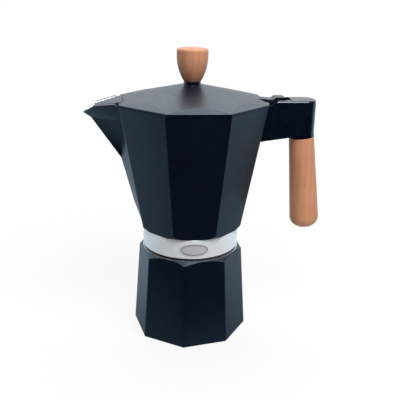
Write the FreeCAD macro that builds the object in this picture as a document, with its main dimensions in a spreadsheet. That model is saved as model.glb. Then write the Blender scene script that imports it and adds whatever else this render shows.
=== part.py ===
import FreeCAD, Part
import os
import re
import Sketcher

# A stovetop coffee maker: an eight-sided boiler, a funnel, a threaded collector with a hinged lid, a wooden
# knob and a wooden grip on a black bracket. Millimetres, +Z up, handle towards +X, spout towards -X, origin
# at the centre of the boiler's bottom face.

SIZES = [
    # Boiler
    ("base_radius", 46.7),
    ("shoulder_radius", 41.5),
    ("boiler_height", 73.5),
    ("base_turn", 12.2),
    ("boiler_floor", 4.0),
    ("boiler_wall", 3.2),
    ("boiler_ridge_round", 1.6),
    ("base_edge_round", 1.4),
    ("shoulder_trim_radius", 38.4),
    ("shoulder_trim_rise", 0.78),
    ("shoulder_step_gap", 0.9),
    ("throat_drop", 8.0),
    ("neck_bore", 28.5),
    ("neck_wall", 3.3),
    ("neck_height", 10.0),
    # Thread between boiler and collector
    ("thread_pitch", 3.0),
    ("thread_turns", 2.0),
    ("thread_depth", 1.1),
    ("thread_crest", 0.8),
    ("thread_flank", 1.0),
    ("thread_gap", 0.35),
    ("thread_start", 2.2),
    # Safety valve
    ("valve_height", 42.0),
    ("valve_spot_radius", 7.6),
    ("valve_spot_depth", 0.8),
    ("valve_shank_radius", 4.95),
    ("valve_shank_length", 5.0),
    ("valve_fit", 0.05),
    ("valve_washer_thickness", 0.8),
    ("valve_washer_radius", 7.0),
    ("valve_hex_radius", 7.2),
    ("valve_hex_height", 3.0),
    ("valve_barrel_radius", 5.2),
    ("valve_barrel_length", 4.4),
    ("valve_chamber_radius", 2.7),
    ("valve_seat_level", 1.0),
    ("valve_inlet_radius", 1.5),
    ("plunger_disc_radius", 2.4),
    ("plunger_disc_thickness", 1.0),
    ("plunger_stem_radius", 0.9),
    ("plunger_proud", 0.6),
    ("plunger_stem_gap", 0.1),
    ("valve_cap_thickness", 1.0),
    ("valve_spigot_length", 0.8),
    ("spring_radius", 1.75),
    ("spring_wire_radius", 0.25),
    ("spring_turns", 4.0),
    ("spring_gap", 0.05),
    # Funnel, sieve, gasket and filter plate
    ("funnel_flange_radius", 31.0),
    ("funnel_flange_thickness", 1.0),
    ("funnel_gap", 0.5),
    ("funnel_wall", 0.9),
    ("basket_depth", 24.0),
    ("funnel_cone_drop", 6.0),
    ("stem_radius", 5.0),
    ("stem_floor_gap", 4.0),
    ("sieve_ledge", 1.6),
    ("sieve_thickness", 0.7),
    ("sieve_fit", 0.3),
    ("sieve_hole_radius", 0.9),
    ("sieve_ring_step", 4.6),
    ("gasket_radius", 32.0),
    ("gasket_hole_radius", 25.5),
    ("gasket_thickness", 3.5),
    ("gasket_gap", 0.35),
    ("filter_radius", 29.0),
    ("filter_thickness", 0.8),
    ("filter_gap", 0.3),
    # Collector
    ("collector_base_radius", 41.15),
    ("collector_top_radius", 59.4),
    ("collector_height", 98.1),
    ("collector_wall", 2.6),
    ("collector_ridge_round", 1.4),
    ("collector_floor", 5.7),
    ("base_trim_radius", 39.1),
    ("base_trim_slope", 1.08),
    ("skirt_radius", 36.9),
    ("skirt_clearance", 1.0),
    ("plenum_radius", 25.2),
    ("plenum_height", 2.0),
    ("plenum_rise", 1.2),
    ("column_base_radius", 8.5),
    ("column_top_radius", 6.2),
    ("column_height", 62.0),
    ("column_bore", 3.5),
    ("column_roof", 3.0),
    ("outlet_radius", 2.2),
    # Spout
    ("prow_low_rise", 19.7),
    ("prow_low", 3.6),
    ("prow_foot", 0.4),
    ("prow_top", 1.0),
    ("beak_foot_drop", 43.0),
    ("beak_foot_reach", 6.9),
    ("beak_foot_width", 0.6),
    ("beak_bend_drop", 11.4),
    ("beak_bend_reach", 23.3),
    ("beak_crest", 2.4),
    ("beak_crest_reach", 40.8),
    ("beak_nose", 0.8),
    ("beak_side_wall", 2.9),
    ("beak_nose_wall", 3.9),
    ("channel_rise", 12.0),
    ("channel_back", 6.1),
    ("channel_nose", 0.3),
    ("lip_peak_reach", 58.6),
    ("lip_peak_rise", 1.7),
    ("lip_bend_reach", 73.0),
    ("lip_bend_drop", 1.0),
    ("lip_fall", 0.7),
    # Waist band and badge
    ("band_radius", 38.0),
    ("band_fit", 0.05),
    ("band_overlap", 0.4),
    ("band_gap", 2.2),
    ("band_edge", 0.5),
    ("badge_length", 21.0),
    ("badge_width", 9.0),
    ("badge_thickness", 0.5),
    ("badge_border", 0.9),
    ("badge_border_height", 0.25),
    # Lid
    ("lid_gap", 0.3),
    ("lid_radius", 59.7),
    ("lid_rim_height", 1.3),
    ("lid_rim_round", 0.6),
    ("lid_bevel_radius", 24.0),
    ("lid_side_gap", 0.4),
    ("lid_height", 13.3),
    ("lid_crown_radius", 7.0),
    ("lid_thickness", 1.8),
    ("lid_shelf", 2.2),
    ("nose_reach", 73.4),
    ("nose_bend", 57.0),
    ("nose_drop", 3.0),
    ("nose_root_width", 32.0),
    ("nose_tip_width", 8.0),
    # Hinge
    ("hinge_reach", 66.5),
    ("hinge_drop", 2.9),
    ("pin_radius", 1.5),
    ("pin_fit", 0.05),
    ("pin_side_gap", 1.0),
    ("lug_round", 3.2),
    ("lug_flat", 1.3),
    ("lug_neck", 5.1),
    ("lever_width", 11.2),
    ("lever_reach", 5.2),
    ("lever_rise", 7.2),
    ("lever_thickness", 3.0),
    ("lever_heel", 3.8),
    ("lever_tip_rise", 1.05),
    ("lever_tip_bevel", 0.75),
    ("lever_top_reach", 4.2),
    ("lever_top_back", 2.6),
    ("lever_step", 2.1),
    ("lever_root_rise", 3.4),
    ("lever_root_inset", 6.6),
    ("lever_side_gap", 0.3),
    ("lever_end_gap", 0.7),
    # Knob
    ("knob_collar_radius", 6.5),
    ("knob_collar_height", 2.4),
    ("knob_foot_radius", 6.5),
    ("knob_head_radius", 11.8),
    ("knob_head_height", 18.5),
    ("knob_height", 24.0),
    ("knob_edge_round", 1.8),
    ("knob_screw_radius", 2.0),
    ("knob_screw_depth", 12.0),
    ("knob_screw_head_radius", 4.2),
    ("knob_screw_head_height", 2.4),
    ("screw_fit", 0.05),
    # Handle bracket
    ("bracket_width", 20.0),
    ("bracket_end", 96.1),
    ("bracket_top_gap", 2.4),
    ("bracket_nose_drop", 1.4),
    ("bracket_nose_reach", 60.0),
    ("bracket_bevel_reach", 65.5),
    ("bracket_root_drop", 29.5),
    ("bracket_end_round", 9.0),
    ("bracket_edge_round", 2.2),
    ("tenon_width", 11.0),
    ("tenon_reach", 59.0),
    ("tenon_height", 12.0),
    ("tenon_drop", 10.5),
    ("tenon_fit", 0.2),
    ("bracket_screw_radius", 2.0),
    ("bracket_screw_grip", 8.0),
    ("bracket_screw_head_radius", 3.3),
    ("bracket_screw_head_height", 2.4),
    ("bracket_screw_web", 2.4),
    # Grip
    ("grip_reach", 86.7),
    ("grip_drop", 24.9),
    ("grip_lean", 5.7),
    ("ferrule_radius", 9.9),
    ("ferrule_thickness", 2.4),
    ("grip_top_radius", 9.8),
    ("grip_end_radius", 11.9),
    ("grip_length", 75.4),
    ("grip_end_round", 8.6),
    ("grip_top_round", 0.5),
    ("stud_radius", 3.0),
    ("stud_fit", 0.05),
    ("stud_up", 5.0),
    ("stud_down", 45.0),
]

FACETS = 8
FACET_ANGLE = 360 / FACETS
HALF_FACET = FACET_ANGLE / 2
HEX_SIDES = 6
SIEVE_RINGS = 5
HOLES_PER_RING = 6
NO_BOWS = {}

doc = FreeCAD.newDocument("MokaPot")
sheet = doc.addObject("Spreadsheet::Sheet", "Dims")
for row, (alias, size) in enumerate(SIZES, 1):
    sheet.set(f"A{row}", alias)
    sheet.set(f"B{row}", str(size))
    sheet.setAlias(f"B{row}", alias)
doc.recompute()

ALIASES = re.compile(r"\b(" + "|".join(alias for alias, size in SIZES) + r")\b")


# Expressions over the sheet

def bound(text):
    return ALIASES.sub(r"Dims.\1", str(text))


def value(text):
    result = sheet.evalExpression(bound(text))
    return float(getattr(result, "Value", result))


def bind(item, **sizes):
    for name, text in sizes.items():
        item.setExpression(name, bound(text))


def placed(item, x, y, z, axis=("0", "0", "1"), angle="0"):
    turn = f"rotation(vector({'; '.join(axis)}); {angle})"
    item.setExpression("Placement", bound(f"placement(vector({x}; {y}; {z}); {turn})"))


# Sketches whose corners follow the sheet

def pin_corner(sketch, line, kind, text):
    index = sketch.addConstraint(Sketcher.Constraint(kind, -1, 1, line, 1, value(text)))
    sketch.setExpression(f"Constraints[{index}]", bound(text))


def arc_between(start, end, radius):
    # bulges to the right of the way from start to end
    half = (end - start) / 2
    inwards = FreeCAD.Vector(-half.y, half.x, 0).normalize()
    centre = start + half + inwards * (radius ** 2 - half.Length ** 2) ** 0.5
    return Part.Arc(start, centre - inwards * radius, end)


def size_round(sketch, index, radius):
    size = sketch.addConstraint(Sketcher.Constraint("Radius", index, value(radius)))
    sketch.setExpression(f"Constraints[{size}]", bound(radius))


def trace(sketch, corners, bows=NO_BOWS):
    # sides between the corners in turn: straight, or bowed out with the radius given for that side
    points = [FreeCAD.Vector(value(x), value(y), 0) for x, y in corners]
    first = sketch.GeometryCount
    count = len(points)
    for i, start in enumerate(points):
        end = points[(i + 1) % count]
        side = arc_between(start, end, value(bows[i])) if i in bows else Part.LineSegment(start, end)
        sketch.addGeometry(side, False)
    for i, (x, y) in enumerate(corners):
        after = first + (i + 1) % count
        sketch.addConstraint(Sketcher.Constraint("Coincident", first + i, 2, after, 1))
        pin_corner(sketch, first + i, "DistanceX", x)
        pin_corner(sketch, first + i, "DistanceY", y)
    for i, radius in bows.items():
        size_round(sketch, first + i, radius)


def circle(sketch, radius, x="0", y="0"):
    centre = FreeCAD.Vector(value(x), value(y), 0)
    index = sketch.addGeometry(Part.Circle(centre, FreeCAD.Vector(0, 0, 1), value(radius)), False)
    for kind, text in (("DistanceX", x), ("DistanceY", y)):
        place = sketch.addConstraint(Sketcher.Constraint(kind, -1, 1, index, 3, value(text)))
        sketch.setExpression(f"Constraints[{place}]", bound(text))
    size_round(sketch, index, radius)


def sketch_on(body, role, name, offset="0"):
    sketch = body.newObject("Sketcher::SketchObject", name)
    plane = next(item for item in body.Origin.OriginFeatures if item.Role == role)
    sketch.AttachmentSupport = (plane, [""])
    sketch.MapMode = "FlatFace"
    sketch.setExpression("AttachmentOffset.Base.z", bound(offset))
    return sketch


# Features of one body

def new_body(label):
    body = doc.addObject("PartDesign::Body", label)
    body.Label = label
    return body


def revolve(body, name, corners, kind="Revolution", bows=NO_BOWS):
    sketch = sketch_on(body, "XZ_Plane", name + "_outline")
    trace(sketch, corners, bows)
    feature = body.newObject("PartDesign::" + kind, name)
    feature.Profile = sketch
    feature.ReferenceAxis = (sketch, ["V_Axis"])
    feature.Angle = 360
    doc.recompute()
    return feature


def loft(body, name, sections, kind="AdditiveLoft"):
    sketches = []
    for level, (height, corners) in enumerate(sections):
        sketch = sketch_on(body, "XY_Plane", f"{name}_section_{level}", height)
        trace(sketch, corners)
        sketches.append(sketch)
    feature = body.newObject("PartDesign::" + kind, name)
    feature.Profile = sketches[0]
    feature.Sections = sketches[1:]
    feature.Ruled = True
    doc.recompute()
    return feature


def frustum(body, name, low, height, low_radius, high_radius, turn="0"):
    # an eight-sided block with leaning flat sides
    sketch = sketch_on(body, "XY_Plane", name + "_outline", low)
    trace(sketch, octagon(low_radius, turn))
    feature = body.newObject("PartDesign::Pad", name)
    feature.Profile = sketch
    lean = f"atan(({high_radius} - {low_radius}) * {FLAT} / ({height}))"
    bind(feature, Length=height, TaperAngle=lean)
    doc.recompute()
    return feature


def slab(body, name, role, draw, length, kind="Pad", offset="0", middle=True, flip=False):
    sketch = sketch_on(body, role, name + "_outline", offset)
    draw(sketch)
    feature = body.newObject("PartDesign::" + kind, name)
    feature.Profile = sketch
    bind(feature, Length=length)
    feature.Midplane = middle
    feature.Reversed = flip
    doc.recompute()
    return feature


def helix(body, name, corners, height):
    sketch = sketch_on(body, "XZ_Plane", name + "_outline")
    trace(sketch, corners)
    feature = body.newObject("PartDesign::AdditiveHelix", name)
    feature.Profile = sketch
    feature.ReferenceAxis = (sketch, ["V_Axis"])
    feature.Mode = "pitch-height-angle"
    bind(feature, Pitch="thread_pitch", Height=height)
    doc.recompute()
    return feature


def round_edges(body, name, radius, chosen):
    base = body.Tip
    edges = [f"Edge{i}" for i, edge in enumerate(base.Shape.Edges, 1) if chosen(edge)]
    feature = body.newObject("PartDesign::Fillet", name)
    feature.Base = (base, edges)
    bind(feature, Radius=radius)
    doc.recompute()
    return feature


def turned(label, corners, bows=NO_BOWS):
    body = new_body(label)
    revolve(body, label + "_turn", corners, bows=bows)
    return body


# Booleans between whole pieces

def joined(label, kind, pieces):
    item = doc.addObject("Part::" + kind, label)
    item.Label = label
    item.Shapes = pieces
    doc.recompute()
    return item


def cut_from(label, base, tool):
    item = doc.addObject("Part::Cut", label)
    item.Label = label
    item.Base = base
    item.Tool = tool
    doc.recompute()
    return item


def cylinder(label, radius, height):
    item = doc.addObject("Part::Cylinder", label)
    item.Label = label
    bind(item, Radius=radius, Height=height)
    return item


# Shapes that several pieces share

def octagon(radius, turn="0"):
    angles = [HALF_FACET + FACET_ANGLE * k for k in range(FACETS)]
    return [(f"({radius}) * cos({a} + {turn})", f"({radius}) * sin({a} + {turn})") for a in angles]


def band(inner, outer, low, high):
    return [(inner, low), (outer, low), (outer, high), (inner, high)]


def slopes(edge, low, high):
    return abs(edge.BoundBox.ZMax - high) < TINY and abs(edge.BoundBox.ZMin - low) < TINY


def is_level(edge, height):
    return abs(edge.BoundBox.ZMax - height) < TINY and abs(edge.BoundBox.ZMin - height) < TINY


TINY = 1e-4
FLAT = f"cos({HALF_FACET})"
HALF = f"sin({HALF_FACET})"
WAY_OUT = "(2 * collector_top_radius)"
LID_REACH = f"(lid_radius * {FLAT})"

# Levels up the pot, from the boiler's bottom face

NECK_TOP = "(boiler_height + neck_height)"
NECK_RADIUS = "(neck_bore + neck_wall)"
THREAD_RADIUS = f"({NECK_RADIUS} + thread_depth)"
GASKET_LEVEL = f"({NECK_TOP} + funnel_flange_thickness)"
FILTER_LEVEL = f"({GASKET_LEVEL} + gasket_thickness)"
WAIST = f"({FILTER_LEVEL} + filter_thickness)"
FLOOR = f"({WAIST} + collector_floor)"
RIM = f"({WAIST} + collector_height)"
LID_LEVEL = f"({RIM} + lid_gap)"
CROWN = f"({LID_LEVEL} + lid_height)"
HINGE_LEVEL = f"({RIM} - hinge_drop)"


# Boiler

def boiler_radius(height):
    return f"(base_radius + (shoulder_radius - base_radius) * ({height}) / boiler_height)"


def cavity_radius(height):
    return f"({boiler_radius(height)} * {FLAT} - boiler_wall)"


def make_boiler():
    body = new_body("boiler_casting")
    frustum(body, "boiler_shell", "0", "boiler_height", "base_radius", "shoulder_radius", "base_turn")
    top = value("boiler_height")
    round_edges(body, "boiler_ridges", "boiler_ridge_round", lambda edge: slopes(edge, 0, top))
    round_edges(body, "boiler_foot", "base_edge_round", lambda edge: is_level(edge, 0))
    trim_top = f"({BAND_FOOT} - band_gap)"
    step = "(skirt_radius - shoulder_step_gap)"
    trim_drop = f"(({WAY_OUT} - shoulder_trim_radius) * shoulder_trim_rise)"
    revolve(body, "shoulder_trim", [
        (step, "boiler_height"),
        (step, trim_top),
        ("shoulder_trim_radius", trim_top),
        (WAY_OUT, f"{trim_top} - {trim_drop}"),
        (WAY_OUT, "boiler_height"),
    ], "Groove")
    revolve(body, "neck", band("0", NECK_RADIUS, "boiler_height - throat_drop / 2", NECK_TOP))
    helix(body, "neck_thread", thread_outline(NECK_RADIUS, "1", "thread_start"), "thread_pitch * thread_turns")
    throat = "(boiler_height - throat_drop)"
    revolve(body, "boiler_cavity", [
        ("0", "boiler_floor"),
        (cavity_radius("boiler_floor"), "boiler_floor"),
        (cavity_radius(throat), throat),
        ("neck_bore", "boiler_height - throat_drop / 3"),
        ("neck_bore", NECK_TOP),
        ("0", NECK_TOP),
    ], "Groove")
    spot = cylinder("valve_spot", "valve_spot_radius", "valve_spot_depth + boiler_wall")
    on_valve_axis(spot)
    hole = cylinder("valve_hole", "valve_shank_radius + valve_fit", "4 * boiler_wall")
    on_valve_axis(hole, "-2 * boiler_wall")
    return cut_from("boiler", body, joined("valve_seat", "MultiFuse", [spot, hole]))


def thread_outline(wall, outwards, start):
    # a blunt ridge that stands off a round wall and is rooted a little way into it
    root = f"({wall} - {outwards} * thread_depth / 2)"
    crest = f"({wall} + {outwards} * thread_depth)"
    foot = f"(boiler_height + {start})"
    return [
        (root, f"{foot} - thread_crest / 2 - thread_flank"),
        (crest, f"{foot} - thread_crest / 2"),
        (crest, f"{foot} + thread_crest / 2"),
        (root, f"{foot} + thread_crest / 2 + thread_flank"),
    ]


# Safety valve, on the back of the boiler

VALVE_TURN = f"(base_turn + {FACET_ANGLE})"
VALVE_FACE = f"({boiler_radius('valve_height')} * {FLAT} - valve_spot_depth)"
HEX_LEVEL = "valve_washer_thickness"
BARREL_LEVEL = f"({HEX_LEVEL} + valve_hex_height)"
BARREL_END = f"({BARREL_LEVEL} + valve_barrel_length)"
SPRING_FOOT = "(valve_seat_level + plunger_disc_thickness)"
SPRING_TOP = f"({BARREL_END} - valve_spigot_length)"


def on_valve_axis(item, shift="0"):
    reach = f"({VALVE_FACE} + {shift})"
    axis = (f"-sin({VALVE_TURN})", f"cos({VALVE_TURN})", "0")
    placed(item, f"{reach} * cos({VALVE_TURN})", f"{reach} * sin({VALVE_TURN})", "valve_height", axis, "90")


def make_valve_body():
    body = new_body("valve_body")
    revolve(body, "valve_shank", [
        ("valve_inlet_radius", "-valve_shank_length"),
        ("valve_shank_radius", "-valve_shank_length"),
        ("valve_shank_radius", HEX_LEVEL),
        ("valve_barrel_radius", HEX_LEVEL),
        ("valve_barrel_radius", BARREL_END),
        ("valve_chamber_radius", BARREL_END),
        ("valve_chamber_radius", "valve_seat_level"),
        ("valve_inlet_radius", "valve_seat_level"),
    ])
    angles = [360 / HEX_SIDES * k for k in range(HEX_SIDES)]
    corners = [(f"valve_hex_radius * cos({a})", f"valve_hex_radius * sin({a})") for a in angles]

    def draw(sketch):
        trace(sketch, corners)
        circle(sketch, "(valve_chamber_radius + valve_barrel_radius) / 2")

    slab(body, "valve_hex", "XY_Plane", draw, "valve_hex_height", offset=HEX_LEVEL, middle=False)
    on_valve_axis(body)
    return body


def make_valve_washer():
    body = turned("valve_washer", band("valve_shank_radius + valve_fit", "valve_washer_radius", "0", HEX_LEVEL))
    on_valve_axis(body)
    return body


def make_valve_plunger():
    stem_end = f"({BARREL_END} + valve_cap_thickness + plunger_proud)"
    body = turned("valve_plunger", [
        ("0", "valve_seat_level"),
        ("plunger_disc_radius", "valve_seat_level"),
        ("plunger_disc_radius", SPRING_FOOT),
        ("plunger_stem_radius", SPRING_FOOT),
        ("plunger_stem_radius", stem_end),
        ("0", stem_end),
    ])
    on_valve_axis(body)
    return body


def make_valve_cap():
    hole = "plunger_stem_radius + plunger_stem_gap"
    body = turned("valve_cap", [
        (hole, SPRING_TOP),
        ("valve_chamber_radius - valve_fit", SPRING_TOP),
        ("valve_chamber_radius - valve_fit", BARREL_END),
        ("valve_barrel_radius", BARREL_END),
        ("valve_barrel_radius", f"{BARREL_END} + valve_cap_thickness"),
        (hole, f"{BARREL_END} + valve_cap_thickness"),
    ])
    on_valve_axis(body)
    return body


def make_valve_spring():
    foot = f"({SPRING_FOOT} + spring_wire_radius + spring_gap)"
    length = f"({SPRING_TOP} - {SPRING_FOOT} - 2 * spring_wire_radius - 2 * spring_gap)"
    body = new_body("valve_spring")
    wire = sketch_on(body, "XZ_Plane", "spring_wire")
    circle(wire, "spring_wire_radius", "spring_radius", foot)
    coil = body.newObject("PartDesign::AdditiveHelix", "spring_coil")
    coil.Profile = wire
    coil.ReferenceAxis = (wire, ["V_Axis"])
    coil.Mode = "pitch-height-angle"
    bind(coil, Pitch=f"{length} / spring_turns", Height=length)
    doc.recompute()
    on_valve_axis(body)
    return body


# Funnel and its sieve

BASKET_RADIUS = "(neck_bore - funnel_gap)"
BASKET_FLOOR = f"({NECK_TOP} - basket_depth)"
STEM_TOP = f"({BASKET_FLOOR} - funnel_cone_drop)"
STEM_END = "(boiler_floor + stem_floor_gap)"
SIEVE_LEVEL = f"({BASKET_FLOOR} + funnel_wall)"


def make_funnel():
    bore = "(stem_radius - funnel_wall)"
    inside = f"({BASKET_RADIUS} - funnel_wall)"
    ledge = f"({inside} - sieve_ledge)"
    return turned("funnel", [
        (bore, STEM_END),
        ("stem_radius", STEM_END),
        ("stem_radius", STEM_TOP),
        (f"{ledge} + funnel_wall", BASKET_FLOOR),
        (BASKET_RADIUS, BASKET_FLOOR),
        (BASKET_RADIUS, NECK_TOP),
        ("funnel_flange_radius", NECK_TOP),
        ("funnel_flange_radius", GASKET_LEVEL),
        (inside, GASKET_LEVEL),
        (inside, SIEVE_LEVEL),
        (ledge, SIEVE_LEVEL),
        (bore, f"{STEM_TOP} + funnel_wall"),
    ])


def perforated(label, radius, low, thickness):
    body = new_body(label)
    slab(body, label + "_disc", "XY_Plane", lambda s: circle(s, radius), thickness, offset=low, middle=False)

    def draw(sketch):
        circle(sketch, "sieve_hole_radius")
        for ring in range(1, SIEVE_RINGS + 1):
            count = HOLES_PER_RING * ring
            for k in range(count):
                angle = 360 * k / count
                reach = f"sieve_ring_step * {ring}"
                circle(sketch, "sieve_hole_radius", f"{reach} * cos({angle})", f"{reach} * sin({angle})")

    slab(body, label + "_holes", "XY_Plane", draw, f"2 * {thickness}", "Pocket", offset=low, middle=True)
    return body


def make_sieve():
    radius = f"{BASKET_RADIUS} - funnel_wall - sieve_fit"
    return perforated("funnel_sieve", radius, SIEVE_LEVEL, "sieve_thickness")


# Gasket and filter plate under the collector

def make_gasket():
    return turned("gasket", band("gasket_hole_radius", "gasket_radius", GASKET_LEVEL, FILTER_LEVEL))


def make_filter_plate():
    return perforated("filter_plate", "filter_radius", FILTER_LEVEL, "filter_thickness")


# Collector: eight-sided pitcher with spout, skirt and coffee column

SKIRT_FOOT = "(boiler_height + skirt_clearance)"
FEMALE_CREST = f"({THREAD_RADIUS} + thread_gap)"
FEMALE_ROOT = f"({FEMALE_CREST} + thread_depth)"
COLUMN_TOP = f"({FLOOR} + column_height)"
WALL_MIDDLE = "collector_wall / 2"


def collector_radius(height):
    return (f"(collector_base_radius + (collector_top_radius - collector_base_radius)"
            f" * (({height}) - {WAIST}) / collector_height)")


def facet_reach(height):
    return f"({collector_radius(height)} * {FLAT})"


def facet_half(height):
    return f"({collector_radius(height)} * {HALF})"


def wedge(height, half_width, reach, nose="beak_nose", back=WALL_MIDDLE):
    # a V in plan, from just inside the spout-side facet out to a blunt nose
    inner = f"-({facet_reach(height)} - {back})"
    return (height, [
        (inner, f"-({half_width})"),
        (inner, half_width),
        (f"-({reach})", nose),
        (f"-({reach})", f"-({nose})"),
    ])


def make_collector():
    body = new_body("collector")
    frustum(body, "collector_shell", WAIST, "collector_height", "collector_base_radius", "collector_top_radius")
    low, high = value(WAIST), value(RIM)
    round_edges(body, "collector_ridges", "collector_ridge_round", lambda edge: slopes(edge, low, high))
    add_spout(body)
    revolve(body, "base_trim", [
        ("base_trim_radius", WAIST),
        (WAY_OUT, WAIST),
        (WAY_OUT, f"{WAIST} + ({WAY_OUT} - base_trim_radius) * base_trim_slope"),
    ], "Groove")
    add_tenon(body)
    revolve(body, "skirt", band("0", "skirt_radius", SKIRT_FOOT, f"{WAIST} + collector_floor / 2"))
    wall = f"collector_wall / {FLAT}"
    above = f"({RIM} + collector_wall)"
    loft(body, "collector_cavity", [
        (FLOOR, octagon(f"{collector_radius(FLOOR)} - {wall}")),
        (above, octagon(f"{collector_radius(above)} - {wall}")),
    ], "SubtractiveLoft")
    open_spout(body)
    revolve(body, "column", [
        ("0", f"{FLOOR} - collector_floor / 4"),
        ("column_base_radius", f"{FLOOR} - collector_floor / 4"),
        ("column_base_radius", FLOOR),
        ("column_top_radius", COLUMN_TOP),
        ("0", COLUMN_TOP),
    ])
    plenum_top = f"({WAIST} + plenum_height)"
    thread_end = f"({NECK_TOP} + funnel_flange_thickness / 2)"
    revolve(body, "underside", [
        ("0", SKIRT_FOOT),
        (FEMALE_ROOT, SKIRT_FOOT),
        (FEMALE_ROOT, thread_end),
        ("gasket_radius + gasket_gap", thread_end),
        ("gasket_radius + gasket_gap", FILTER_LEVEL),
        ("filter_radius + filter_gap", FILTER_LEVEL),
        ("filter_radius + filter_gap", WAIST),
        ("plenum_radius", WAIST),
        ("plenum_radius", plenum_top),
        ("column_bore", f"{plenum_top} + plenum_rise"),
        ("column_bore", f"{COLUMN_TOP} - column_roof"),
        ("0", f"{COLUMN_TOP} - column_roof"),
    ], "Groove")
    outlet = f"{COLUMN_TOP} - column_roof - outlet_radius"
    slab(body, "outlets", "XZ_Plane", lambda s: circle(s, "outlet_radius", "0", outlet),
         "4 * column_top_radius", "Pocket")
    helix(body, "skirt_thread", thread_outline(FEMALE_ROOT, "-1", "thread_start"), "thread_pitch * thread_turns")
    return body


# Spout on the -X side: a shallow prow all the way down and a beak near the rim

BEAK_FOOT = f"({RIM} - beak_foot_drop)"
BEAK_BEND = f"({RIM} - beak_bend_drop)"
BEAK_CREST = f"({RIM} + beak_crest)"


def beak_width(height):
    share = f"(({height}) - {BEAK_FOOT}) / ({BEAK_CREST} - {BEAK_FOOT})"
    return f"(beak_foot_width + ({facet_half(BEAK_CREST)} - beak_foot_width) * {share})"


def beak_sections(foot, side_wall, nose_wall, nose, back):
    bend_share = f"({foot} - {BEAK_FOOT}) / ({BEAK_BEND} - {BEAK_FOOT})"
    foot_reach = f"(beak_foot_reach + (beak_bend_reach - beak_foot_reach) * {bend_share})"
    levels = ((foot, foot_reach), (BEAK_BEND, "beak_bend_reach"), (BEAK_CREST, "beak_crest_reach"))
    sections = []
    for height, reach in levels:
        width = f"{beak_width(height)} - {side_wall}"
        out = f"{facet_reach(height)} + {reach} - {nose_wall}"
        sections.append(wedge(height, width, out, nose, back))
    return sections


def add_spout(body):
    low = f"({WAIST} + prow_low_rise)"
    loft(body, "prow", [
        wedge(WAIST, facet_half(WAIST), f"{facet_reach(WAIST)} + prow_foot"),
        wedge(low, facet_half(low), f"{facet_reach(low)} + prow_low"),
        wedge(BEAK_FOOT, facet_half(BEAK_FOOT), f"{facet_reach(BEAK_FOOT)} + beak_foot_reach"),
        wedge(RIM, facet_half(RIM), f"{facet_reach(RIM)} + prow_top"),
    ])
    loft(body, "beak", beak_sections(BEAK_FOOT, "0", "0", "beak_nose", WALL_MIDDLE))


def open_spout(body):
    channel_foot = f"({BEAK_FOOT} + channel_rise)"
    channel = beak_sections(channel_foot, "beak_side_wall", "beak_nose_wall", "channel_nose", "channel_back")
    loft(body, "channel", channel, "SubtractiveLoft")
    over = f"({RIM} + 2 * beak_crest)"
    fall = f"({WAY_OUT} - lip_bend_reach) * lip_fall"
    outline = [
        ("0", RIM),
        (f"-({LID_REACH} + lid_side_gap)", RIM),
        ("-lip_peak_reach", f"{RIM} + lip_peak_rise"),
        ("-lip_bend_reach", f"{RIM} - lip_bend_drop"),
        (f"-{WAY_OUT}", f"{RIM} - lip_bend_drop - {fall}"),
        (f"-{WAY_OUT}", over),
        ("0", over),
    ]
    slab(body, "lip", "XZ_Plane", lambda s: trace(s, outline), WAY_OUT, "Pocket")


# Tenon on the +X facet, which the handle bracket is screwed to

TENON_TOP = f"({RIM} - tenon_drop)"
TENON_FOOT = f"({TENON_TOP} - tenon_height)"
TENON_SCREW = f"((tenon_reach + {facet_reach(TENON_FOOT)}) / 2)"


def add_tenon(body):
    root = "collector_wall / 3"
    outline = [
        (f"{facet_reach(TENON_FOOT)} - {root}", TENON_FOOT),
        ("tenon_reach", TENON_FOOT),
        ("tenon_reach", TENON_TOP),
        (f"{facet_reach(TENON_TOP)} - {root}", TENON_TOP),
    ]
    slab(body, "tenon", "XZ_Plane", lambda s: trace(s, outline), "tenon_width")
    slab(body, "tenon_hole", "XY_Plane",
         lambda s: circle(s, "bracket_screw_radius + screw_fit", TENON_SCREW),
         "bracket_screw_grip + screw_fit", "Pocket", TENON_FOOT, middle=False, flip=True)


# Waist band with a plain oval badge

BAND_FOOT = "(boiler_height - band_overlap)"


def make_band():
    inner = "skirt_radius + band_fit"
    return turned("waist_band", [
        (inner, BAND_FOOT),
        ("band_radius - band_edge", BAND_FOOT),
        ("band_radius", f"{BAND_FOOT} + band_edge"),
        ("band_radius", f"{WAIST} - band_edge"),
        ("band_radius - band_edge", WAIST),
        (inner, WAIST),
    ])


def oval(label, shrink, depth):
    # an upright oval block in front of the band, wide across X and tall along Z
    item = doc.addObject("Part::Ellipse", label + "_edge")
    bind(item, MajorRadius=f"badge_length / 2 - {shrink}", MinorRadius=f"badge_width / 2 - {shrink}")
    placed(item, "0", "-band_radius / 2", f"({BAND_FOOT} + {WAIST}) / 2", ("1", "0", "0"), "90")
    block = doc.addObject("Part::Extrusion", label + "_block")
    block.Base = item
    block.DirMode = "Custom"
    block.Dir = FreeCAD.Vector(0, -1, 0)
    block.Solid = True
    bind(block, LengthFwd="band_radius")
    ring = turned(label + "_ring", band("band_radius + band_fit", f"band_radius + {depth}", BAND_FOOT, WAIST))
    return joined(label, "MultiCommon", [block, ring])


def make_badge():
    plate = oval("badge_plate", "0", "badge_thickness + badge_border_height")
    recess_ring = turned("badge_recess_ring", band("band_radius + badge_thickness", "2 * band_radius",
                                                   BAND_FOOT, WAIST))
    inside = oval("badge_inside", "badge_border", "2 * badge_thickness")
    recess = joined("badge_recess", "MultiCommon", [inside, recess_ring])
    return cut_from("badge", plate, recess)


# Lid, a cone that meets an eight-sided rim in shallow bevels, with nose, hinge lug and lever in one casting

LID_RIM_TOP = f"({LID_LEVEL} + lid_rim_height)"
LID_SLOPE = f"(({CROWN} - {LID_RIM_TOP}) / (lid_radius - lid_crown_radius))"


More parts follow.
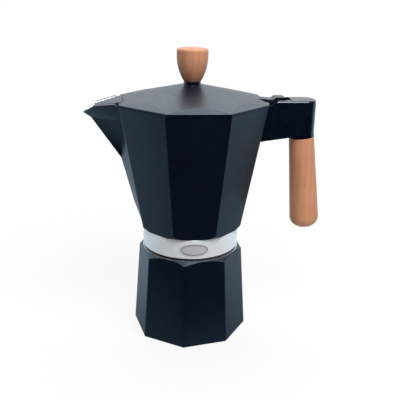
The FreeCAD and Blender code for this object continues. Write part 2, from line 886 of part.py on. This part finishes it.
def cut_cone(body, name):
    revolve(body, name, [
        ("lid_crown_radius", CROWN),
        (WAY_OUT, f"{LID_RIM_TOP} - ({WAY_OUT} - lid_radius) * {LID_SLOPE}"),
        (WAY_OUT, CROWN),
    ], "Groove")


def make_lid():
    body = new_body("lid_casting")
    slab(body, "lid_rim", "XY_Plane", lambda s: trace(s, octagon("lid_radius")), "lid_rim_height",
         offset=LID_LEVEL, middle=False)
    frustum(body, "lid_bevel", LID_RIM_TOP, "lid_height - lid_rim_height", "lid_radius", "lid_bevel_radius")
    rim_top = value(LID_RIM_TOP)
    round_edges(body, "lid_rim_edge", "lid_rim_round", lambda edge: is_level(edge, rim_top))
    cut_cone(body, "lid_cone")
    revolve(body, "lid_hollow", [
        ("0", LID_LEVEL),
        (f"{LID_REACH} - lid_shelf", LID_LEVEL),
        ("lid_crown_radius", f"{CROWN} - lid_thickness"),
        ("0", f"{CROWN} - lid_thickness"),
    ], "Groove")
    lever_top = f"({HINGE_LEVEL} + lever_rise)"
    lever_under = f"({lever_top} - lever_thickness)"
    tab = f"({LID_REACH} - lever_root_inset)"
    lug_foot = f"({HINGE_LEVEL} - lug_round)"
    lever = [
        (tab, LID_RIM_TOP),
        ("hinge_reach - lug_neck", LID_LEVEL),
        ("hinge_reach - lug_round", f"{HINGE_LEVEL} - lug_flat"),
        ("hinge_reach - lug_flat", lug_foot),
        ("hinge_reach + lug_flat", lug_foot),
        ("hinge_reach + lug_round", f"{HINGE_LEVEL} - lug_flat"),
        ("hinge_reach + lever_heel", lever_under),
        ("hinge_reach + lever_reach", f"{lever_under} + lever_tip_rise"),
        ("hinge_reach + lever_reach", f"{lever_top} - lever_tip_bevel"),
        ("hinge_reach + lever_top_reach", lever_top),
        ("hinge_reach - lever_top_back", lever_top),
        ("hinge_reach - lug_neck", f"{LID_LEVEL} + lever_step"),
        (tab, f"{LID_LEVEL} + lever_root_rise"),
    ]
    slab(body, "lever", "XZ_Plane", lambda s: trace(s, lever), "lever_width")
    slab(body, "pin_bore", "XZ_Plane", lambda s: circle(s, "pin_radius + pin_fit", "hinge_reach", HINGE_LEVEL),
         "2 * lever_width", "Pocket")
    slab(body, "knob_hole", "XY_Plane", lambda s: circle(s, "knob_screw_radius + screw_fit"),
         "lid_height", "Pocket", CROWN, middle=False)
    return joined("lid", "MultiFuse", [body, make_nose()])


def make_nose():
    # carries the cone on over the spout's channel, between its walls
    body = new_body("lid_nose")
    root = f"-({LID_REACH} - collector_wall)"
    plan = [
        (root, "-nose_root_width / 2"),
        (root, "nose_root_width / 2"),
        ("-nose_reach", "nose_tip_width / 2"),
        ("-nose_reach", "-nose_tip_width / 2"),
    ]
    slab(body, "nose_block", "XY_Plane", lambda s: trace(s, plan), "lid_height",
         offset=f"{LID_LEVEL} - nose_drop", middle=False)
    below = f"({LID_LEVEL} - 2 * nose_drop)"
    underside = [
        ("0", LID_LEVEL),
        ("-nose_bend", LID_LEVEL),
        ("-nose_reach", f"{LID_LEVEL} - nose_drop"),
        ("-nose_reach", below),
        ("0", below),
    ]
    slab(body, "nose_underside", "XZ_Plane", lambda s: trace(s, underside), WAY_OUT, "Pocket")
    cut_cone(body, "nose_cone")
    return body


def make_hinge_pin():
    item = cylinder("hinge_pin", "pin_radius", "bracket_width - 2 * pin_side_gap")
    placed(item, "hinge_reach", "bracket_width / 2 - pin_side_gap", HINGE_LEVEL, ("1", "0", "0"), "90")
    return item


# Knob on the lid

KNOB_FOOT = f"({CROWN} + knob_collar_height)"
KNOB_TOP = f"({KNOB_FOOT} + knob_height)"


def make_knob_collar():
    return turned("knob_collar", band("knob_screw_radius + screw_fit", "knob_collar_radius", CROWN, KNOB_FOOT))


def make_knob():
    bore = "knob_screw_radius + screw_fit"
    swell = "(knob_head_radius - knob_foot_radius)"
    side_bow = f"(knob_head_height ^ 2 + {swell} ^ 2) / (2 * {swell})"
    foot_corner = 1
    body = turned("lid_knob", [
        (bore, KNOB_FOOT),
        ("knob_foot_radius", KNOB_FOOT),
        ("knob_head_radius", f"{KNOB_FOOT} + knob_head_height"),
        ("knob_head_radius", KNOB_TOP),
        ("0", KNOB_TOP),
        ("0", f"{KNOB_FOOT} + knob_screw_depth"),
        (bore, f"{KNOB_FOOT} + knob_screw_depth"),
    ], {foot_corner: side_bow})
    top = value(KNOB_TOP)
    round_edges(body, "knob_edge", "knob_edge_round", lambda edge: is_level(edge, top))
    return body


def make_knob_screw():
    seat = f"({CROWN} - lid_thickness)"
    return turned("knob_screw", [
        ("0", f"{seat} - knob_screw_head_height"),
        ("knob_screw_head_radius", f"{seat} - knob_screw_head_height"),
        ("knob_screw_head_radius", seat),
        ("knob_screw_radius", seat),
        ("knob_screw_radius", f"{KNOB_FOOT} + knob_screw_depth - screw_fit"),
        ("0", f"{KNOB_FOOT} + knob_screw_depth - screw_fit"),
    ])


# Handle bracket, its screw, and the grip

BRACKET_TOP = f"({RIM} + bracket_top_gap)"
BRACKET_ROOT = f"({RIM} - bracket_root_drop)"
SEAT = f"({RIM} - grip_drop)"
SEAT_SLOPE = "tan(grip_lean)"
SLOT_REACH = "(sqrt(lever_reach ^ 2 + lever_rise ^ 2) + lever_end_gap)"


def on_grip_axis(item):
    placed(item, "grip_reach", "0", SEAT, ("0", "1", "0"), "-grip_lean")


def make_bracket():
    body = new_body("bracket_casting")
    nose_level = f"({RIM} - bracket_nose_drop)"
    bend = "(grip_reach - ferrule_radius)"
    profile = [
        (facet_reach(BRACKET_ROOT), BRACKET_ROOT),
        (bend, f"{SEAT} + ({bend} - grip_reach) * {SEAT_SLOPE}"),
        ("bracket_end", f"{SEAT} + (bracket_end - grip_reach) * {SEAT_SLOPE}"),
        ("bracket_end", BRACKET_TOP),
        ("bracket_bevel_reach", BRACKET_TOP),
        ("bracket_nose_reach", nose_level),
        (facet_reach(nose_level), nose_level),
    ]
    slab(body, "bracket_block", "XZ_Plane", lambda s: trace(s, profile), "bracket_width")
    end = value("bracket_end")
    top = value(BRACKET_TOP)
    round_edges(body, "bracket_end_corners", "bracket_end_round",
                lambda e: e.BoundBox.XMin > end - TINY and e.BoundBox.ZLength > e.BoundBox.YLength)
    round_edges(body, "bracket_top_edges", "bracket_edge_round",
                lambda e: is_level(e, top) and e.BoundBox.XLength > TINY)
    swing = f"({HINGE_LEVEL} - {SLOT_REACH})"
    slot = [
        ("bracket_nose_reach", swing),
        (f"hinge_reach + {SLOT_REACH}", swing),
        (f"hinge_reach + {SLOT_REACH}", f"{BRACKET_TOP} + lever_rise"),
        (f"{facet_reach(RIM)} - collector_wall", f"{BRACKET_TOP} + lever_rise"),
        (f"{facet_reach(RIM)} - collector_wall", nose_level),
        ("bracket_nose_reach", nose_level),
    ]
    slab(body, "lever_slot", "XZ_Plane", lambda s: trace(s, slot), "lever_width + 2 * lever_side_gap", "Pocket")
    pocket = [
        (f"{facet_reach(TENON_FOOT)} - collector_wall", f"{TENON_FOOT} - tenon_fit"),
        ("tenon_reach + tenon_fit", f"{TENON_FOOT} - tenon_fit"),
        ("tenon_reach + tenon_fit", f"{TENON_TOP} + tenon_fit"),
        (f"{facet_reach(TENON_FOOT)} - collector_wall", f"{TENON_TOP} + tenon_fit"),
    ]
    slab(body, "tenon_pocket", "XZ_Plane", lambda s: trace(s, pocket), "tenon_width + 2 * tenon_fit", "Pocket")
    slab(body, "pin_hole", "XZ_Plane", lambda s: circle(s, "pin_radius", "hinge_reach", HINGE_LEVEL),
         "bracket_width - 2 * pin_side_gap", "Pocket")
    shank = cylinder("bracket_screw_hole", "bracket_screw_radius + screw_fit", "tenon_height")
    placed(shank, TENON_SCREW, "0", f"{TENON_FOOT} - tenon_height")
    head = cylinder("bracket_screw_recess", "bracket_screw_head_radius + tenon_fit", "tenon_height")
    placed(head, TENON_SCREW, "0", f"{TENON_FOOT} - tenon_fit - bracket_screw_web - tenon_height")
    stud = cylinder("bracket_stud_hole", "stud_radius + stud_fit", "stud_up + stud_fit")
    on_grip_axis(stud)
    return cut_from("handle_bracket", body, joined("bracket_holes", "MultiFuse", [shank, head, stud]))


def make_bracket_screw():
    seat = f"({TENON_FOOT} - tenon_fit - bracket_screw_web)"
    body = turned("bracket_screw", [
        ("0", f"{seat} - bracket_screw_head_height"),
        ("bracket_screw_head_radius", f"{seat} - bracket_screw_head_height"),
        ("bracket_screw_head_radius", seat),
        ("bracket_screw_radius", seat),
        ("bracket_screw_radius", f"{TENON_FOOT} + bracket_screw_grip"),
        ("0", f"{TENON_FOOT} + bracket_screw_grip"),
    ])
    placed(body, TENON_SCREW, "0", "0")
    return body


def make_ferrule():
    body = turned("grip_ferrule", band("stud_radius + stud_fit", "ferrule_radius", "-ferrule_thickness", "0"))
    on_grip_axis(body)
    return body


def make_grip():
    end = "-(ferrule_thickness + grip_length)"
    bore = "stud_radius + stud_fit"
    body = turned("handle_grip", [
        (bore, "-ferrule_thickness"),
        ("grip_top_radius", "-ferrule_thickness"),
        ("grip_end_radius", end),
        ("0", end),
        ("0", "-(stud_down + stud_fit)"),
        (bore, "-(stud_down + stud_fit)"),
    ])
    low, top = value(end), value("-ferrule_thickness")
    bore_edge = value(bore) + TINY
    round_edges(body, "grip_end", "grip_end_round", lambda edge: is_level(edge, low))
    round_edges(body, "grip_top", "grip_top_round",
                lambda edge: is_level(edge, top) and edge.BoundBox.XMax > bore_edge)
    on_grip_axis(body)
    return body


def make_grip_stud():
    body = turned("grip_stud", band("0", "stud_radius", "-stud_down", "stud_up"))
    on_grip_axis(body)
    return body


MAKERS = [
    make_boiler, make_valve_body, make_valve_washer, make_valve_plunger, make_valve_spring, make_valve_cap,
    make_funnel, make_sieve, make_gasket, make_filter_plate, make_collector, make_band, make_badge, make_lid,
    make_hinge_pin, make_knob_collar, make_knob, make_knob_screw, make_bracket, make_bracket_screw,
    make_ferrule, make_grip, make_grip_stud,
]

pieces = [make() for make in MAKERS]
doc.recompute()

for item in doc.Objects:
    if "Invalid" in item.State or "Error" in item.State:
        raise RuntimeError(f"{item.Name} failed: {item.State}")
for piece in pieces:
    if piece.Shape.isNull() or not piece.Shape.isValid():
        raise RuntimeError(f"{piece.Label} has no valid shape")
    if len(piece.Shape.Solids) != 1:
        raise RuntimeError(f"{piece.Label} has {len(piece.Shape.Solids)} solids")

os.makedirs("parts", exist_ok=True)
for piece in pieces:
    piece.Shape.exportStep(f"parts/{piece.Label}.step")
    print(f"{piece.Label}: {piece.Shape.Volume:.1f} cubic mm")
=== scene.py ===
import math

import bpy
from mathutils import Matrix, Vector


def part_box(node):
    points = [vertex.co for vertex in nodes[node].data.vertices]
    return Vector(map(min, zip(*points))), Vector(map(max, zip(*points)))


# A stovetop coffee maker of black coated aluminium with a bright waist band and beech knob and grip, on a
# white floor under soft studio light. Metres, +Z up, handle towards +X, spout towards -X.

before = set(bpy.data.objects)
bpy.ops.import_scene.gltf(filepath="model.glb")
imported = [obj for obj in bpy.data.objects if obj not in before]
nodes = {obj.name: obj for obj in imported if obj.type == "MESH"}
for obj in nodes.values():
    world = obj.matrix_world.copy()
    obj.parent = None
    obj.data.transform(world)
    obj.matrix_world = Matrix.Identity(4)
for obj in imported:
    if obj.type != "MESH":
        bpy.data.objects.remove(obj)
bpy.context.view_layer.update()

# The photograph's camera, in the pot's frame
CAMERA_PLACE = Vector((-0.0425, -0.4802, 0.2750))
CAMERA_HEADING = math.radians(5.945)
CAMERA_PITCH = math.radians(-19.11)
CAMERA_ROLL = math.radians(1.04)
CAMERA_LENS = 57.26
CAMERA_SENSOR = 36.0

# Levels and sizes of the pot that the finishes follow
BOILER_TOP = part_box("waist_band")[0].z
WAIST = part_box("waist_band")[1].z
HINGE_DROP = 0.0029
RIM = (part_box("hinge_pin")[0].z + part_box("hinge_pin")[1].z) / 2 + HINGE_DROP
RIM_EDGE = 0.001
FOOT_EDGE = 0.002
COLUMN_RADIUS = 0.009
SPOUT_START = -0.05
LID_GAP = 0.0003
LID_HOLLOW = 0.053
BADGE_BORDER = 0.0006
BADGE_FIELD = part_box("waist_band")[1].x + BADGE_BORDER
GRIP_LEAN = math.radians(5.7)
HAIR = 0.0002

# Heights of a face's normal, from -1 for straight down to 1 for straight up
BOTTOM_TILT = -0.99
WELL_TILT = -0.5
UNDERSIDE_TILT = -0.1
BADGE_EDGE_TILT = 0.3

# The span that a noise texture mostly fills
NOISE_LOW = 0.3
NOISE_HIGH = 0.7

# Stretch of fine lines round the pot's axis
LATHE_LINES = (20, 20, 3600)
BADGE_LINES = (40, 40, 3000)

# Beech: the heart of its rings, their share of the grain, and its textures' stretch along the grain
WOOD_HEART = (0.035, 0.022, 0)
RING_SHARE = 0.15
RING_STRETCH = (1, 1, 0.12)
FIBRE_STRETCH = (1, 1, 0.05)
FLECK_STRETCH = (1, 1, 0.22)
UNSTRETCHED = (1, 1, 1)

# Floor: its half width, its shade near the pot, and the depths between which its mirror image fades
FLOOR_HALF = 3.0
FLOOR_COLOUR = (0.62, 0.62, 0.63, 1)
FLOOR_ROUGHNESS = 0.9
SHADE_SHARE = 0.16
SHADE_NEAR = 0.12
SHADE_FAR = 0.42
GLOSS_START = -0.11
GLOSS_END = 0.11
FLOOR_GLOSS = 1.0
FLOOR_GLOSS_TINT = (0.62, 0.83, 1.0, 1)

# Where the room's light comes from: the direction's axis, its span there, and the light over that span
BACK_SHARE = ("Y", (-0.1, 0.6), (0.02, 1.0))
UPWARD_LIGHT = ("Z", (0.25, 0.75), (0.92, 2.8))
ROOM_COLOUR = (0.94, 0.97, 1.0, 1)

# The softbox in front, in metres and watts, and the point that it lights
LAMP_PLACE = Vector((0.22, -0.62, 1.1))
LAMP_AIM = Vector((0, 0, 0.12))
LAMP_WIDTH = 0.8
LAMP_HEIGHT = 0.6
LAMP_POWER = 17.5

WHITE = (1, 1, 1)
OPAQUE_WHITE = (*WHITE, 1)


class Tree:
    """A node tree under construction."""

    def __init__(self, tree):
        self.tree = tree

    def add(self, kind, inputs=None, **settings):
        node = self.tree.nodes.new(kind)
        for name, value in settings.items():
            setattr(node, name, value)
        for socket, value in (inputs or {}).items():
            self.feed(node.inputs[socket], value)
        return node

    def feed(self, socket, value):
        if isinstance(value, bpy.types.NodeSocket):
            self.tree.links.new(value, socket)
        else:
            socket.default_value = value

    def between(self, factor, low, high, start=0.0, end=1.0):
        inputs = {"Value": factor, "From Min": start, "From Max": end, "To Min": low, "To Max": high}
        return self.add("ShaderNodeMapRange", inputs).outputs["Result"]

    def calculate(self, operation, first, second):
        return self.add("ShaderNodeMath", {0: first, 1: second}, operation=operation).outputs["Value"]


class Finish(Tree):
    """One material under construction: its node tree and its main shader."""

    def __init__(self, name, constants):
        self.material = bpy.data.materials.new(name)
        self.material.use_nodes = True
        super().__init__(self.material.node_tree)
        self.shader = self.tree.nodes["Principled BSDF"]
        for socket, value in constants.items():
            self.shader.inputs[socket].default_value = value
        self.place = self.add("ShaderNodeTexCoord").outputs["Object"]

    def drive(self, socket, value):
        self.feed(self.shader.inputs[socket], value)

    def stretched(self, scale, turn=(0, 0, 0), shift=(0, 0, 0)):
        inputs = {"Vector": self.place, "Scale": scale, "Rotation": turn, "Location": shift}
        return self.add("ShaderNodeMapping", inputs).outputs["Vector"]

    def noise(self, scale, detail, roughness=0.5, place=None):
        inputs = {"Vector": self.place if place is None else place, "Scale": scale, "Detail": detail,
                  "Roughness": roughness}
        return self.add("ShaderNodeTexNoise", inputs).outputs["Fac"]

    def cells(self, place, scale):
        return self.add("ShaderNodeTexVoronoi", {"Vector": place, "Scale": scale}).outputs["Distance"]

    def rings(self, place, scale, distortion):
        inputs = {"Vector": place, "Scale": scale, "Distortion": distortion, "Detail": 2.0,
                  "Detail Scale": 1.5}
        wave = self.add("ShaderNodeTexWave", inputs, wave_type="RINGS", rings_direction="Z")
        return wave.outputs["Fac"]

    def ramp(self, factor, stops):
        node = self.add("ShaderNodeValToRGB", {"Fac": factor})
        elements = node.color_ramp.elements
        while len(elements) < len(stops):
            elements.new(0.5)
        for element, (position, colour) in zip(elements, stops):
            element.position = position
            element.color = (*colour, 1)
        return node.outputs["Color"]

    def shades(self, noise, dark, pale):
        return self.ramp(noise, [(NOISE_LOW, dark), (NOISE_HIGH, pale)])

    def spread(self, noise, low, high):
        return self.between(noise, low, high, NOISE_LOW, NOISE_HIGH)

    def multiply(self, first, second, share):
        inputs = {"Fac": share, "Color1": first, "Color2": second}
        return self.add("ShaderNodeMixRGB", inputs, blend_type="MULTIPLY").outputs["Color"]

    def relief(self, height, distance, strength, under=None):
        inputs = {"Height": height, "Distance": distance, "Strength": strength}
        if under is not None:
            inputs["Normal"] = under
        return self.add("ShaderNodeBump", inputs).outputs["Normal"]


# Finishes

def black_coating():
    finish = Finish("black_coating_finish", {
        "Specular IOR Level": 0.68,
        "Specular Tint": (0.70, 0.88, 1.0, 1),
    })
    mottle = finish.noise(scale=45, detail=3)
    shine = finish.noise(scale=160, detail=3)
    peel = finish.relief(finish.noise(scale=520, detail=2), distance=0.00002, strength=0.05)
    powder = finish.noise(scale=4200, detail=2)
    colour = finish.shades(mottle, dark=(0.0001, 0.0023, 0.0104), pale=(0.0003, 0.0034, 0.0136))
    finish.drive("Base Color", colour)
    finish.drive("Roughness", finish.spread(shine, low=0.36, high=0.42))
    finish.drive("Normal", finish.relief(powder, distance=0.00001, strength=0.05, under=peel))
    return finish.material


def bare_casting():
    finish = Finish("bare_casting_finish", {"Metallic": 1.0})
    tone = finish.noise(scale=70, detail=4)
    shine = finish.noise(scale=300, detail=3)
    pits = finish.noise(scale=900, detail=3)
    finish.drive("Base Color", finish.shades(tone, dark=(0.52, 0.53, 0.55), pale=(0.66, 0.67, 0.69)))
    finish.drive("Roughness", finish.spread(shine, low=0.42, high=0.6))
    finish.drive("Normal", finish.relief(pits, distance=0.00006, strength=0.5))
    return finish.material


def turned_metal(name, metallic, dark, pale, smooth, rough):
    finish = Finish(name, {"Metallic": metallic})
    lines = finish.noise(scale=1.0, detail=3, roughness=0.6, place=finish.stretched(LATHE_LINES))
    cloud = finish.noise(scale=60, detail=2)
    finish.drive("Base Color", finish.shades(cloud, dark, pale))
    finish.drive("Roughness", finish.spread(lines, smooth, rough))
    finish.drive("Normal", finish.relief(lines, distance=0.00001, strength=0.5))
    return finish.material


def beech(name, turn):
    finish = Finish(name, {"Specular IOR Level": 0.4})
    rings = finish.rings(finish.stretched(RING_STRETCH, turn, WOOD_HEART), scale=62, distortion=2.6)
    fibre = finish.noise(scale=1500, detail=6, roughness=0.7, place=finish.stretched(FIBRE_STRETCH, turn))
    fleck = finish.cells(finish.stretched(FLECK_STRETCH, turn), scale=1300)
    blotch = finish.noise(scale=55, detail=2, place=finish.stretched(UNSTRETCHED, turn))
    ring_part = finish.between(rings, 0, RING_SHARE)
    fibre_part = finish.between(fibre, 0, 1 - RING_SHARE)
    grain = finish.ramp(finish.calculate("ADD", ring_part, fibre_part), [
        (0.25, (0.46, 0.202, 0.104)),
        (0.55, (0.55, 0.250, 0.133)),
        (0.8, (0.61, 0.290, 0.160)),
    ])
    flecks = finish.ramp(fleck, [(0.08, (0.62, 0.5, 0.42)), (0.2, WHITE)])
    tint = finish.shades(blotch, dark=(0.86, 0.82, 0.8), pale=WHITE)
    flecked = finish.multiply(grain, flecks, share=0.7)
    pores = finish.relief(fibre, distance=0.00004, strength=0.6)
    finish.drive("Base Color", finish.multiply(flecked, tint, share=0.8))
    finish.drive("Roughness", finish.spread(fibre, low=0.42, high=0.6))
    finish.drive("Normal", finish.relief(fleck, distance=0.00003, strength=0.3, under=pores))
    return finish.material


def phenolic():
    finish = Finish("black_phenolic_finish", {
        "Specular IOR Level": 0.8,
        "Specular Tint": (0.8, 0.91, 1.0, 1),
    })
    tone = finish.noise(scale=80, detail=3)
    shine = finish.noise(scale=240, detail=3)
    skin = finish.noise(scale=3000, detail=2)
    colour = finish.shades(tone, dark=(0.0005, 0.0028, 0.0090), pale=(0.0010, 0.0042, 0.0120))
    finish.drive("Base Color", colour)
    finish.drive("Roughness", finish.spread(shine, low=0.2, high=0.3))
    finish.drive("Normal", finish.relief(skin, distance=0.00001, strength=0.05))
    return finish.material


def silicone():
    finish = Finish("white_silicone_finish", {"Specular IOR Level": 0.35})
    tone = finish.noise(scale=120, detail=3)
    shine = finish.noise(scale=400, detail=2)
    skin = finish.noise(scale=1800, detail=2)
    finish.drive("Base Color", finish.shades(tone, dark=(0.66, 0.64, 0.59), pale=(0.74, 0.73, 0.69)))
    finish.drive("Roughness", finish.spread(shine, low=0.5, high=0.65))
    finish.drive("Normal", finish.relief(skin, distance=0.00001, strength=0.5))
    return finish.material


def small_metal(name, dark, pale, smooth, rough):
    finish = Finish(name, {"Metallic": 1.0})
    tone = finish.noise(scale=350, detail=3)
    shine = finish.noise(scale=900, detail=3)
    skin = finish.noise(scale=2600, detail=2)
    finish.drive("Base Color", finish.shades(tone, dark, pale))
    finish.drive("Roughness", finish.spread(shine, smooth, rough))
    finish.drive("Normal", finish.relief(skin, distance=0.00001, strength=0.4))
    return finish.material


def badge_plate(name, dark, pale):
    finish = Finish(name, {"Metallic": 0.5})
    lines = finish.noise(scale=1.0, detail=3, roughness=0.6, place=finish.stretched(BADGE_LINES))
    finish.drive("Base Color", finish.shades(lines, dark, pale))
    finish.drive("Roughness", finish.spread(lines, low=0.4, high=0.52))
    finish.drive("Normal", finish.relief(lines, distance=0.00001, strength=0.5))
    return finish.material


# Which faces of a casting are left bare, and which of the badge are its border

def faces_out(centre, normal):
    return centre.x * normal.x + centre.y * normal.y > 0


def collector_bare(centre, normal):
    if centre.z < WAIST - HAIR or centre.xy.length < COLUMN_RADIUS:
        return True
    if centre.x < SPOUT_START:
        return normal.y * centre.y < -HAIR * HAIR and normal.z > UNDERSIDE_TILT
    return not faces_out(centre, normal) and normal.z > WELL_TILT and centre.z < RIM - RIM_EDGE


def boiler_bare(centre, normal):
    if normal.z < BOTTOM_TILT or centre.z > BOILER_TOP:
        return True
    return not faces_out(centre, normal) and centre.z > FOOT_EDGE


def lid_bare(centre, normal):
    under_lid = centre.z > RIM + LID_GAP + HAIR / 2 and centre.xy.length < LID_HOLLOW
    return normal.z < UNDERSIDE_TILT and under_lid


def badge_border(centre, normal):
    return abs(normal.z) > BADGE_EDGE_TILT or centre.xy.length > BADGE_FIELD


def dress(name, *materials, rule=None):
    mesh = nodes[name].data
    mesh.materials.clear()
    for material in materials:
        mesh.materials.append(material)
    if rule:
        for polygon in mesh.polygons:
            polygon.material_index = int(rule(polygon.center, polygon.normal))


coating = black_coating()
casting = bare_casting()
plastic = phenolic()
rubber = silicone()
brass = small_metal("brass_finish", (0.50, 0.34, 0.13), (0.66, 0.47, 0.21), 0.24, 0.4)
steel = small_metal("steel_finish", (0.42, 0.43, 0.44), (0.58, 0.59, 0.60), 0.25, 0.42)
band_metal = turned_metal("band_finish", 0.42, (0.88, 0.91, 0.95), (0.92, 0.94, 0.97), 0.46, 0.6)
pressed = turned_metal("pressed_aluminium_finish", 1.0, (0.62, 0.63, 0.65), (0.72, 0.73, 0.75), 0.3, 0.45)
knob_wood = beech("knob_beech_finish", (0, 0, 0))
grip_wood = beech("grip_beech_finish", (0, GRIP_LEAN, 0))
badge_field = badge_plate("badge_field_finish", (0.74, 0.73, 0.77), (0.80, 0.79, 0.83))
badge_rim = badge_plate("badge_rim_finish", (0.42, 0.40, 0.42), (0.50, 0.48, 0.50))

dress("boiler", coating, casting, rule=boiler_bare)
dress("collector", coating, casting, rule=collector_bare)
dress("lid", coating, casting, rule=lid_bare)
dress("waist_band", band_metal)
dress("badge", badge_field, badge_rim, rule=badge_border)
dress("lid_knob", knob_wood)
dress("handle_grip", grip_wood)
for name in ("handle_bracket", "knob_collar", "grip_ferrule"):
    dress(name, plastic)
for name in ("gasket", "valve_washer"):
    dress(name, rubber)
for name in ("funnel", "funnel_sieve", "filter_plate"):
    dress(name, pressed)
for name in ("valve_body", "valve_cap", "valve_plunger"):
    dress(name, brass)
for name in ("valve_spring", "hinge_pin", "knob_screw", "bracket_screw", "grip_stud"):
    dress(name, steel)


# Floor, room light, lamp and camera

def floor_finish():
    # seen directly, white with a faint shade and the pot's shadow
    # seen in the pot, white behind it and fading to dark in front of it
    finish = Finish("floor_finish", {"Base Color": FLOOR_COLOUR, "Roughness": FLOOR_ROUGHNESS})
    rays = finish.add("ShaderNodeLightPath").outputs
    seen = rays["Is Camera Ray"]
    depth = finish.add("ShaderNodeSeparateXYZ", {"Vector": finish.place}).outputs["Y"]
    from_pot = finish.add("ShaderNodeVectorMath", {0: finish.place}, operation="LENGTH").outputs["Value"]
    mirrored = finish.between(depth, 0.0, FLOOR_GLOSS, GLOSS_START, GLOSS_END)
    glow = finish.add("ShaderNodeMix", {"Factor": seen, "A": mirrored, "B": 1.0}).outputs["Result"]
    tint = finish.add("ShaderNodeMixRGB", {"Fac": seen, "Color1": FLOOR_GLOSS_TINT, "Color2": OPAQUE_WHITE})
    emission = finish.add("ShaderNodeEmission", {"Color": tint.outputs["Color"], "Strength": glow})
    bright = finish.between(from_pot, 1 - SHADE_SHARE, 1.0, SHADE_NEAR, SHADE_FAR)
    direct = finish.calculate("MULTIPLY", seen, bright)
    mirror = finish.calculate("MAXIMUM", rays["Is Glossy Ray"], rays["Is Transmission Ray"])
    mix = finish.add("ShaderNodeMixShader", {
        "Fac": finish.calculate("MAXIMUM", direct, mirror),
        1: finish.shader.outputs["BSDF"],
        2: emission.outputs["Emission"],
    })
    finish.feed(finish.tree.nodes["Material Output"].inputs["Surface"], mix.outputs["Shader"])
    return finish.material


def make_floor():
    mesh = bpy.data.meshes.new("floor")
    side = FLOOR_HALF
    corners = [(-side, -side, 0), (side, -side, 0), (side, side, 0), (-side, side, 0)]
    mesh.from_pydata(corners, [], [(0, 1, 2, 3)])
    floor = bpy.data.objects.new("floor", mesh)
    bpy.context.scene.collection.objects.link(floor)
    mesh.materials.append(floor_finish())


def make_world():
    world = bpy.data.worlds.new("studio")
    bpy.context.scene.world = world
    world.use_nodes = True
    world.node_tree.nodes.clear()
    sky = Tree(world.node_tree)
    towards = sky.add("ShaderNodeTexCoord").outputs["Generated"]
    split = sky.add("ShaderNodeSeparateXYZ", {"Vector": towards}).outputs
    shares = []
    for axis, (start, end), (low, high) in (BACK_SHARE, UPWARD_LIGHT):
        shares.append(sky.between(split[axis], low, high, start, end))
    strength = sky.calculate("MULTIPLY", *shares)
    room = sky.add("ShaderNodeBackground", {"Color": ROOM_COLOUR, "Strength": strength})
    white = sky.add("ShaderNodeBackground", {"Color": OPAQUE_WHITE})
    mix = sky.add("ShaderNodeMixShader", {
        "Fac": sky.add("ShaderNodeLightPath").outputs["Is Camera Ray"],
        1: room.outputs["Background"],
        2: white.outputs["Background"],
    })
    sky.add("ShaderNodeOutputWorld", {"Surface": mix.outputs["Shader"]})


def make_lamp():
    lamp = bpy.data.lights.new("front_softbox", "AREA")
    lamp.shape = "RECTANGLE"
    lamp.size = LAMP_WIDTH
    lamp.size_y = LAMP_HEIGHT
    lamp.energy = LAMP_POWER
    softbox = bpy.data.objects.new("front_softbox", lamp)
    softbox.location = LAMP_PLACE
    softbox.rotation_euler = (LAMP_AIM - LAMP_PLACE).to_track_quat("-Z", "Y").to_euler()
    bpy.context.scene.collection.objects.link(softbox)


def make_camera():
    data = bpy.data.cameras.new("camera")
    data.lens = CAMERA_LENS
    data.sensor_width = CAMERA_SENSOR
    data.sensor_fit = "HORIZONTAL"
    camera = bpy.data.objects.new("camera", data)
    heading = Matrix.Rotation(-CAMERA_HEADING, 4, "Z")
    pitch = Matrix.Rotation(math.radians(90) + CAMERA_PITCH, 4, "X")
    roll = Matrix.Rotation(CAMERA_ROLL, 4, "Z")
    camera.matrix_world = Matrix.Translation(CAMERA_PLACE) @ heading @ pitch @ roll
    bpy.context.scene.collection.objects.link(camera)
    bpy.context.scene.camera = camera


make_floor()
make_world()
make_lamp()
make_camera()

bpy.context.scene.view_settings.view_transform = "Standard"
